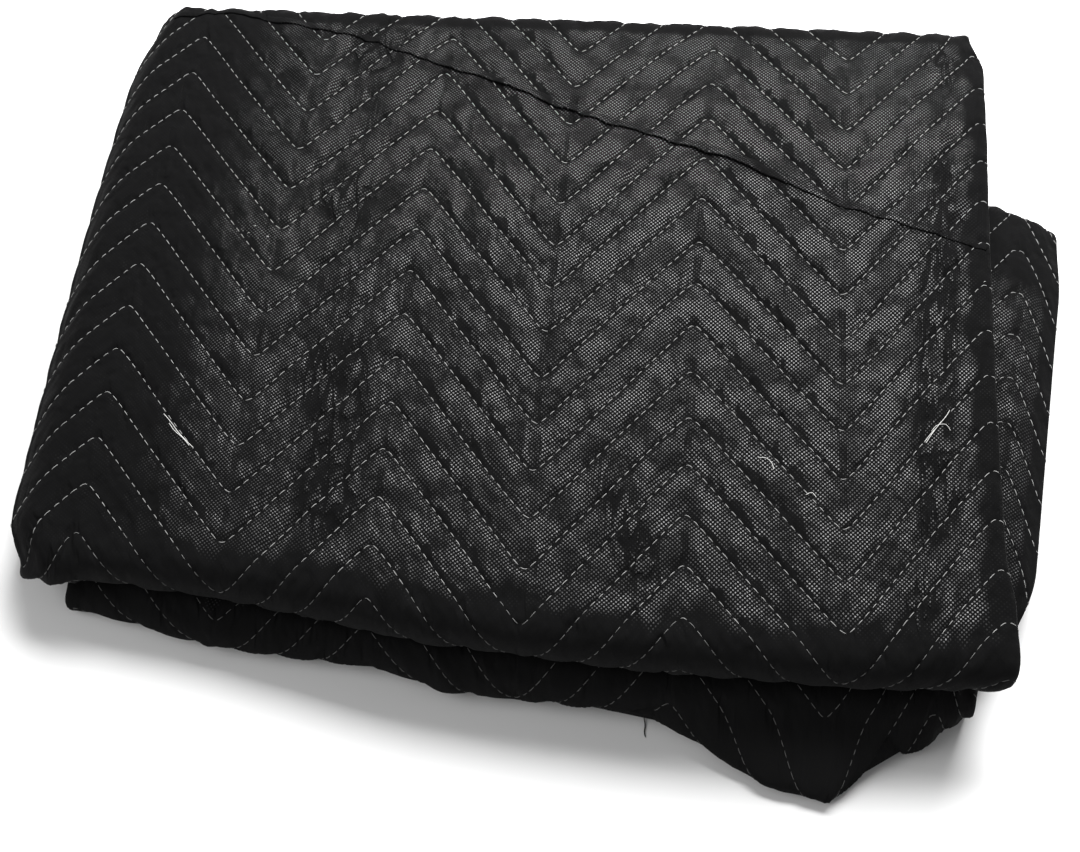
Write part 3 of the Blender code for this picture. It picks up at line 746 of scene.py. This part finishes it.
def make_cloth(name, blanket, material):
    """Builds a folded blanket as one closed sheet with a fine outer and a coarser inner face."""
    across_lines = column_lines(blanket)
    along_grid = row_lines(blanket, across_lines)
    rows, columns = along_grid.shape
    across_grid = np.broadcast_to(across_lines, along_grid.shape)
    across = across_grid.ravel()
    along = along_grid.ravel()
    outer = blanket.laid(across, along, blanket.outer_lift(across, along))

    kept_columns = thinned_out(columns, INNER_COLUMN_STEP)
    kept_rows = thinned_out(rows, INNER_ROW_STEP)
    kept = np.ix_(kept_rows, kept_columns)
    inner_across = across_grid[kept].ravel()
    inner_along = along_grid[kept].ravel()
    inner = blanket.laid(inner_across, inner_along, np.full(inner_across.shape, UNDER_FACE))

    inner_columns = len(kept_columns)
    inner_rows = len(kept_rows)
    offset = len(outer)
    twins = (np.array(kept_rows)[:, None] * columns + np.array(kept_columns)).ravel()
    faces = grid_faces(columns, rows, 0, True).tolist()
    faces += grid_faces(inner_columns, inner_rows, offset, False).tolist()
    faces += rim_faces(ring_of(columns, rows), ring_of(inner_columns, inner_rows), twins, offset)

    piece = new_piece(name, np.concatenate((outer, inner)), faces, material)
    across = np.concatenate((across, inner_across))
    along = np.concatenate((along, inner_along))
    add_places(piece.data, blanket, across, along)
    turn_out(piece.data, cut_rims=True)
    return piece


def add_places(mesh, blanket, across, along):
    """Stores what the cloth's material reads at each point: its place, its seams, and its painted shade
    and painted fill light.
    """
    nothing = np.zeros(len(across))
    creased = band_mask(blanket, across, along) if blanket is upper else nothing
    painted_shade, painted_fill = painted_light_masks(blanket, across, along)
    for name, parts in (
        ("cloth", (across, along, nothing)),
        ("seam", (blanket.phase(across, along), leg_lean(blanket.unfolded(across)), creased)),
        ("painted_light_masks", (painted_shade, painted_fill, nothing)),
    ):
        attribute = mesh.attributes.new(name, "FLOAT_VECTOR", "POINT")
        attribute.data.foreach_set("vector", np.stack(parts, axis=1).astype(np.float32).ravel())


def leg_lean(x):
    """How a leg of the zigzag leans at a place across, from -1 to 1 and about 0 at its kinks."""
    return np.clip(1.4 * np.sin(math.pi * (x + 3.0 * QUILT_HALF_PERIOD) / QUILT_HALF_PERIOD), -1.0, 1.0)


def painted_light_masks(blanket, across, along):
    """Painted shade at each point on parts turned from the light, and painted fill light on the shaded
    front, from 0 to 1.
    """
    x = blanket.unfolded(across)
    y = along - blanket.top_start
    from_edge = across - blanket.face_start
    border = 0.011 * painted_shade_noise.at(x / 0.026, 4.0) + 0.006 * painted_shade_noise.at(x / 0.008, 8.0)
    # Painted shade on the front roll, the fold edge, the back end and the left part, which turn from
    # the light; painted fill light lifts the shaded front
    roll = between(0.018 + border, -0.006 + border, y)
    back = between(blanket.sizes["depth"] - 0.016, blanket.sizes["depth"] - 0.004, y)
    if blanket is upper:
        border = 0.006 * painted_shade_noise.at(y / 0.024, 14.0) + 0.003 * painted_shade_noise.at(y / 0.008, 16.0)
        edge = 0.9 * between(0.020 + border, 0.007 + border, from_edge)
        rest = 0.80 * between(-0.18, -0.28, x)
        painted_fill = between(0.004, -0.032, y)
    else:
        edge = between(0.016, 0.004, from_edge)
        rest = 0.16 + 0.65 * between(0.30, 0.35, y)
        painted_fill = 0.08 + 0.52 * between(0.030, 0.0, y)
    return np.maximum(np.maximum(roll, edge), np.maximum(back, rest)), painted_fill


def unit(vectors):
    return vectors / np.linalg.norm(vectors, axis=-1, keepdims=True)


def rings_round(points, aside, upward, widths, heights, sides):
    """Points of a ring round each given point, with its half width aside and its half height upward."""
    angles = (np.arange(sides) * 2.0 * math.pi / sides)[:, None]
    rings = points[..., None, :] + widths[..., None, None] * np.cos(angles) * aside[..., None, :]
    return rings + heights[..., None, None] * np.sin(angles) * upward[..., None, :]


def tube_faces(rings, sides, base=0):
    """Faces of a closed tube whose points are numbered ring by ring from base on."""
    faces = []
    for ring in range(rings - 1):
        for side in range(sides):
            a = base + ring * sides + side
            b = base + ring * sides + (side + 1) % sides
            faces.append((a, b, b + sides, a + sides))
    last = base + (rings - 1) * sides
    faces.append(tuple(base + side for side in reversed(range(sides))))
    faces.append(tuple(last + side for side in range(sides)))
    return faces


def spline(rows, spacing):
    """Evenly spaced points of a smooth curve through the rows of a table."""
    known = np.array(rows, dtype=float)
    distance = walked_to(known)
    slopes = np.gradient(known, distance, axis=0)
    wanted = np.linspace(0.0, distance[-1], max(3, round(distance[-1] / spacing)))
    index = np.clip(np.searchsorted(distance, wanted, side="right") - 1, 0, len(known) - 2)
    step = distance[index + 1] - distance[index]
    t = ((wanted - distance[index]) / step)[:, None]
    step = step[:, None]
    start = known[index] * (1 + 2 * t) * (1 - t) ** 2 + slopes[index] * step * t * (1 - t) ** 2
    return start + known[index + 1] * t * t * (3 - 2 * t) + slopes[index + 1] * step * t * t * (t - 1)


def walked_to(points):
    """Distance of each point from the first, along the straight lines between them."""
    return np.concatenate(([0.0], np.cumsum(np.linalg.norm(np.diff(points, axis=0), axis=1))))


def flat_places(blanket, points):
    """Places across and along the flat cloth of points of the visible face."""
    return blanket.face_start + blanket.right - points[:, 0], blanket.top_start + points[:, 1]


def on_face(blanket, points, lift):
    """Places in the stack of points of the visible face, lifted off the cloth."""
    across, along = flat_places(blanket, points)
    return blanket.laid(across, along, blanket.outer_lift(across, along) + lift)


def make_join(name, blanket, material):
    """The shell cloth's lapped edge across the face: a thin wedge whose lip stands a little open."""
    line = spline(JOIN_LINE, JOIN_SPACING)
    number = np.arange(len(line))
    heading = unit(np.gradient(line, axis=0))
    aside = np.stack((-heading[:, 1], heading[:, 0]), axis=1)
    wave = 0.0009 * wave_noise.at(number / 7.0, 3.3) + 0.0005 * wave_noise.at(number / 2.6, 8.1)
    line = line + aside * wave[:, None]
    lip = along_table(JOIN_LIP, line[:, 0]) * (1.0 + 0.35 * wave_noise.at(number / 5.0, 21.0))
    flat = []
    verts = []
    for back, top, under in JOIN_SECTION:
        flat.append(line + aside * back)
        verts.append(on_face(blanket, flat[-1], lip * top + under))
    faces = tube_faces(len(line), len(JOIN_SECTION))
    piece = new_piece(name, np.stack(verts, axis=1), faces, material)
    add_places(piece.data, blanket, *flat_places(blanket, np.stack(flat, axis=1).reshape(-1, 2)))
    turn_out(piece.data)
    return piece


def make_loose_threads(name, paths, radius, material):
    """Round threads along smooth curves through places in the stack, joined in one piece."""
    verts = []
    faces = []
    count = 0
    for path in paths:
        points = spline(path, LOOSE_SPACING)
        along = unit(np.gradient(points, axis=0))
        aside = unit(np.cross(along, (0.0, 0.0, 1.0)))
        number = np.arange(len(points))
        taper = radius * np.minimum(1.0, 0.4 + np.minimum(number, number[::-1]) / 3.0)
        rings = rings_round(points, aside, np.cross(aside, along), taper, taper, LOOSE_SIDES)
        verts.append(rings.reshape(-1, 3))
        faces += tube_faces(len(points), LOOSE_SIDES, count)
        count += len(verts[-1])
    piece = new_piece(name, np.concatenate(verts), faces, material)
    turn_out(piece.data)
    return piece


def stitch_tracks(blanket, start, end):
    """Places across and along of every stitch's points, where its middle lies from start to end."""
    samples = np.arange(blanket.inner_run, blanket.face_end + 0.020, SEAM_SPACING)
    shares = np.linspace(0.0, 1.0, len(STITCH_RISE))
    tracks = []
    for row, seam in zip(STITCH_ROWS, blanket.rows_at(samples, STITCH_ROWS)):
        distance = walked_to(blanket.laid(samples, seam, np.full(samples.shape, SHEET)))
        count = int(distance[-1] / STITCH_PITCH)
        starts = (np.arange(count) + 0.37 * (row % 3)) * STITCH_PITCH
        lengths = STITCH_LENGTH * (0.80 + 0.30 * np.random.default_rng(row + 40).random(count))
        wanted = starts[:, None] + shares * lengths[:, None]
        across = np.interp(wanted, distance, samples)
        along = np.interp(wanted, distance, seam)
        seen = (along[:, 2] > start) & (along[:, 2] < end)
        tracks.append(np.stack((across[seen], along[seen]), axis=-1))
    return np.concatenate(tracks)


def make_stitches(name, blanket, tracks, material):
    """Stitches that lie on the cloth and dive into it at both ends."""
    count, rings, _ = tracks.shape
    across, along = tracks.reshape(-1, 2).T
    lift = blanket.outer_lift(across, along)
    base = blanket.laid(across, along, lift)
    normals = unit(blanket.laid(across, along, lift + 0.001) - base).reshape(count, rings, 3)
    points = base.reshape(count, rings, 3) + normals * STITCH_RISE[:, None]
    aside = unit(np.cross(normals, unit(np.gradient(points, axis=1))))
    widths = np.broadcast_to(STITCH_WIDTHS, (count, rings))
    heights = np.broadcast_to(STITCH_HEIGHTS, (count, rings))
    verts = rings_round(points, aside, normals, widths, heights, STITCH_SIDES)
    faces = []
    for number in range(count):
        faces += tube_faces(rings, STITCH_SIDES, number * rings * STITCH_SIDES)
    return new_piece(name, verts, faces, material)


class Looks:
    """A new material, with short calls that add nodes to it."""

    def __init__(self, name):
        self.material = bpy.data.materials.new(name)
        self.material.use_nodes = True
        self.nodes = self.material.node_tree.nodes
        self.links = self.material.node_tree.links
        self.shader = self.nodes["Principled BSDF"]

    def calc(self, operation, *values):
        """The result of a sum on sockets and numbers."""
        node = self.nodes.new("ShaderNodeMath")
        node.operation = operation
        for socket, value in zip(node.inputs, values):
            if isinstance(value, float):
                socket.default_value = value
            else:
                self.links.new(value, socket)
        return node.outputs[0]

    def noise(self, vector, scale, detail):
        node = self.nodes.new("ShaderNodeTexNoise")
        node.inputs["Scale"].default_value = scale
        node.inputs["Detail"].default_value = detail
        self.links.new(vector, node.inputs["Vector"])
        return node.outputs["Fac"]

    def stretched_noise(self, vector, across, along, detail):
        """Noise with its own scale across and along."""
        node = self.nodes.new("ShaderNodeVectorMath")
        node.operation = "MULTIPLY"
        node.inputs[1].default_value = (across, along, 0.0)
        self.links.new(vector, node.inputs[0])
        return self.noise(node.outputs["Vector"], 1.0, detail)

    def smooth(self, value, low, high):
        """Smooth step from 0 at low to 1 at high."""
        node = self.nodes.new("ShaderNodeMapRange")
        node.interpolation_type = "SMOOTHSTEP"
        node.inputs["From Min"].default_value = low
        node.inputs["From Max"].default_value = high
        self.links.new(value, node.inputs["Value"])
        return node.outputs["Result"]

    def joined(self, *parts):
        node = self.nodes.new("ShaderNodeCombineXYZ")
        for part, socket in zip(parts, node.inputs):
            self.links.new(part, socket)
        return node.outputs["Vector"]

    def attribute(self, name):
        """A vector attribute of the mesh, whole and in its three parts."""
        node = self.nodes.new("ShaderNodeAttribute")
        node.attribute_name = name
        split = self.nodes.new("ShaderNodeSeparateXYZ")
        self.links.new(node.outputs["Vector"], split.inputs[0])
        return node.outputs["Vector"], *split.outputs

    def tint(self, share, low, high):
        """Colours the surface from one colour to another by a share."""
        node = self.nodes.new("ShaderNodeMix")
        node.data_type = "RGBA"
        node.inputs["A"].default_value = (*low, 1.0)
        node.inputs["B"].default_value = (*high, 1.0)
        self.links.new(share, node.inputs["Factor"])
        self.links.new(node.outputs["Result"], self.shader.inputs["Base Color"])

    def bump(self, height, distance, *normals):
        """Raises the surface by a height times a distance, for the shader's named normals."""
        node = self.nodes.new("ShaderNodeBump")
        node.inputs["Distance"].default_value = distance
        self.links.new(height, node.inputs["Height"])
        for name in normals:
            self.links.new(node.outputs["Normal"], self.shader.inputs[name])


def cloth_material(name):
    """Black shell cloth: glinting dots with painted highlight, wear, creases, crinkles, seam puckers,
    painted shade and painted fill light.
    """
    look = Looks(name)
    calc = look.calc
    noise = look.noise
    smooth = look.smooth
    places, across, along, _ = look.attribute("cloth")
    _, phase, lean, creased = look.attribute("seam")
    _, painted_shade, painted_fill, _ = look.attribute("painted_light_masks")

    turn = 2.0 * math.pi / DOT_PITCH
    waves = [calc("COSINE", calc("MULTIPLY", place, turn)) for place in (across, along)]
    dots = smooth(calc("MULTIPLY", *waves), 0.27, 0.64)
    uneven = smooth(noise(places, 520.0, 1.0), 0.30, 0.62)
    worn = smooth(noise(places, 46.0, 4.0), 0.38, 0.58)

    # Painted shade: the side of each channel that turns away from the light loses its glint and lighter
    # colour, up to a ragged border
    aside = calc("SUBTRACT", phase, calc("ROUND", phase))
    off = calc("ABSOLUTE", aside)
    right_of_seam = calc("MULTIPLY", aside, calc("SIGN", lean))
    ragged = look.stretched_noise(places, 120.0, 42.0, 2.5)
    reach = calc("MULTIPLY_ADD", ragged, 1.9, -0.55)
    reach = calc("MULTIPLY", reach, calc("MULTIPLY_ADD", lean, 0.17, 0.35))
    painted_flank_shade = smooth(calc("SUBTRACT", right_of_seam, reach), 0.02, -0.06)
    painted_flank_shade = calc("MULTIPLY", painted_flank_shade, smooth(right_of_seam, 0.0, 0.03))
    painted_flank_shade = calc("MULTIPLY", painted_flank_shade, smooth(calc("ABSOLUTE", lean), 0.05, 0.80))

    # Crease bands: short strokes that hang from the seams, thin cracks and small patches, dented by the
    # bump and darkened with painted shade
    row = calc("FLOOR", phase)
    up = calc("SUBTRACT", phase, row)
    slanted = calc("MULTIPLY_ADD", along, 9.0, calc("MULTIPLY", across, 66.0))
    strokes = look.joined(slanted, calc("MULTIPLY", row, 3.7), calc("MULTIPLY", along, 26.0))
    lines = smooth(calc("ABSOLUTE", calc("SUBTRACT", noise(strokes, 1.0, 2.0), 0.5)), 0.070, 0.024)
    hang = calc("SUBTRACT", up, calc("MULTIPLY_ADD", ragged, 1.6, -0.62))
    lines = calc("MULTIPLY", lines, smooth(hang, -0.12, 0.12))
    cracks = calc("ABSOLUTE", calc("SUBTRACT", look.stretched_noise(places, 38.0, 7.0, 2.0), 0.5))
    lines = calc("MAXIMUM", lines, smooth(cracks, 0.016, 0.006))
    patches = smooth(look.stretched_noise(places, 180.0, 40.0, 2.0), 0.45, 0.39)
    marks = calc("MULTIPLY", calc("MAXIMUM", lines, patches), smooth(creased, 0.07, 0.46))

    # A short tuck stands on some kinks of the zigzag, dented by the bump and its groove darkened with
    # painted shade
    tuck = calc("ADD", lean, calc("MULTIPLY_ADD", ragged, 0.50, -0.25))
    tuck = smooth(calc("ABSOLUTE", tuck), 0.15, 0.05)
    tuck = calc("MULTIPLY", tuck, smooth(up, 0.90, 0.50))
    tuck = calc("MULTIPLY", tuck, smooth(noise(places, 24.0, 1.0), 0.44, 0.58))
    marks = calc("MAXIMUM", marks, calc("MULTIPLY", tuck, 0.75))

    # What is left of the dots' glint after random wear, and after painted shade beside the seams, on
    # the flanks, in the crease marks and on parts turned from the light
    painted_seam_shade = smooth(calc("MULTIPLY_ADD", ragged, -0.22, off), 0.035, -0.065)
    painted_shade_mask = smooth(calc("ADD", painted_shade, calc("MULTIPLY", ragged, 0.6)), 0.45, 1.05)
    glint = dots
    for share, gain, rest in (
        (uneven, 0.45, 0.60),
        (worn, 0.74, 0.34),
        (painted_seam_shade, -0.75, 1.0),
        (painted_flank_shade, -0.95, 1.0),
        (marks, -0.95, 1.0),
        (painted_shade_mask, -0.97, 1.0),
    ):
        glint = calc("MULTIPLY", glint, calc("MULTIPLY_ADD", share, gain, rest))

    puckers = smooth(look.stretched_noise(places, 105.0, 40.0, 1.5), 0.66, 0.50)
    puckers = calc("MULTIPLY", puckers, smooth(off, 0.42, 0.05))
    crinkle = smooth(look.stretched_noise(places, 62.0, 44.0, 2.0), 0.36, 0.60)
    height = calc("MULTIPLY", dots, 0.00002)
    for share, rise in ((crinkle, 0.00080), (puckers, 0.00120), (marks, -0.00100)):
        height = calc("MULTIPLY_ADD", share, rise, height)
    look.bump(height, 1.0, "Normal", "Coat Normal")

    # Base colour: lighter at the glinting dots, partly their own tone and partly painted highlight,
    # with the painted shade above and painted fill light on the shaded front
    look.tint(calc("MAXIMUM", glint, calc("MULTIPLY", painted_fill, 0.20)), CLOTH_BLACK, GLINT_GREY)
    look.links.new(calc("MULTIPLY_ADD", glint, -0.20, 1.0), look.shader.inputs["Roughness"])
    look.links.new(glint, look.shader.inputs["Coat Weight"])
    look.shader.inputs["Specular IOR Level"].default_value = 0.08
    look.shader.inputs["Coat Roughness"].default_value = 0.32
    look.shader.inputs["Coat IOR"].default_value = 1.33
    return look.material


def thread_material(name, colour):
    """Spun thread: fine bumps and a little change of tone."""
    look = Looks(name)
    places = look.nodes.new("ShaderNodeTexCoord").outputs["Object"]
    look.tint(look.noise(places, 60.0, 2.0), [part * 0.45 for part in colour], colour)
    look.bump(look.noise(places, 2600.0, 1.0), 0.0001, "Normal")
    look.shader.inputs["Roughness"].default_value = 0.62
    return look.material


def make_floor():
    look = Looks("pale_floor")
    look.shader.inputs["Base Color"].default_value = FLOOR_GREY
    look.shader.inputs["Roughness"].default_value = 0.9
    look.shader.inputs["Specular IOR Level"].default_value = 0.1
    corners = [(x * FLOOR_REACH, y * FLOOR_REACH, 0.0) for x, y in ((-1, -1), (1, -1), (1, 1), (-1, 1))]
    mesh = bpy.data.meshes.new("floor")
    mesh.from_pydata(corners, [], [(0, 1, 2, 3)])
    mesh.materials.append(look.material)
    in_scene("floor", mesh)


def aim(thing, target):
    """Turns a camera or a light to look at a point."""
    thing.rotation_euler = (Vector(target) - thing.location).to_track_quat("-Z", "Y").to_euler()


def make_light(name, place, size, power, target):
    data = bpy.data.lights.new(name, "AREA")
    data.shape = "RECTANGLE"
    data.size, data.size_y = size
    data.energy = power
    lamp = in_scene(name, data)
    lamp.location = place
    aim(lamp, target)


def make_world():
    world = bpy.data.worlds.new("studio")
    world.use_nodes = True
    sky = world.node_tree.nodes["Background"]
    sky.inputs["Color"].default_value = (1.0, 1.0, 1.0, 1.0)
    sky.inputs["Strength"].default_value = SKY_STRENGTH
    bpy.context.scene.world = world
    bpy.context.scene.view_settings.view_transform = "Standard"


def make_camera():
    data = bpy.data.cameras.new("camera")
    data.sensor_fit = "HORIZONTAL"
    data.sensor_width = SENSOR_WIDTH
    data.lens = LENS
    camera = in_scene("camera", data)
    x, y, z = CAMERA_PLACE
    camera.location = (x - PLAN_CENTRE[0], y - PLAN_CENTRE[1], z)
    aim(camera, (-PLAN_CENTRE[0], -PLAN_CENTRE[1], CAMERA_AIM_HEIGHT))
    bpy.context.scene.camera = camera


upper = Blanket(UPPER, upper_place, upper_relief)
lower = Blanket(LOWER, lower_place, lower_relief)

make_camera()
make_light("key", **KEY)
make_light("fill", **FILL)
make_world()
make_floor()

upper_cloth = make_cloth("upper_cloth", upper, cloth_material("upper_shell"))
lower_cloth = make_cloth("lower_cloth", lower, cloth_material("lower_shell"))

thread = thread_material("pale_thread", STITCH_GREY)
# The stitches on the front rolls get a darker thread: painted shade, as the rolls turn from the light
front_thread = thread_material("shaded_front_thread", SHADED_STITCH_GREY)
stitching = {}
for blanket, name, first in ((upper, "upper", -0.06), (lower, "lower", 0.004)):
    tracks = stitch_tracks(blanket, blanket.front_start + first, blanket.back_end + 0.01)
    on_roll = tracks[:, 2, 1] < blanket.top_start + 0.003
    for part, chosen, material in ((name, ~on_roll, thread), (name + "_front", on_roll, front_thread)):
        stitching[part] = make_stitches(part + "_stitching", blanket, tracks[chosen], material)

join = make_join("upper_join", upper, upper_cloth.data.materials[0])
loose_paths = []
for rows in PALE_THREADS:
    rows = np.array(rows)
    loose_paths.append(on_face(upper, rows[:, :2], rows[:, 2]))
for x, y in SPECKS:
    rows = np.array(((x, y), (x + 0.0008, y + 0.0006), (x + 0.0016, y + 0.0008)))
    loose_paths.append(on_face(upper, rows, np.array((0.0003, 0.0006, 0.0003))))
pale = thread_material("loose_pale_thread", LOOSE_PALE)
dark = thread_material("loose_dark_thread", LOOSE_DARK)
pale_threads = make_loose_threads("upper_loose_threads", loose_paths, PALE_RADIUS, pale)
dark_thread = make_loose_threads("lower_loose_thread", [DARK_THREAD], DARK_RADIUS, dark)

for piece, slot in (
    (upper_cloth, "upper_cloth"),
    (lower_cloth, "lower_cloth"),
    (stitching["upper"], "upper_cloth"),
    (stitching["upper_front"], "upper_cloth"),
    (stitching["lower"], "lower_cloth"),
    (stitching["lower_front"], "lower_cloth"),
    (join, "upper_cloth"),
    (pale_threads, "upper_cloth"),
    (dark_thread, "lower_cloth"),
):
    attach(piece, "root")
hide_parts("upper_blanket")
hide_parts("lower_blanket")
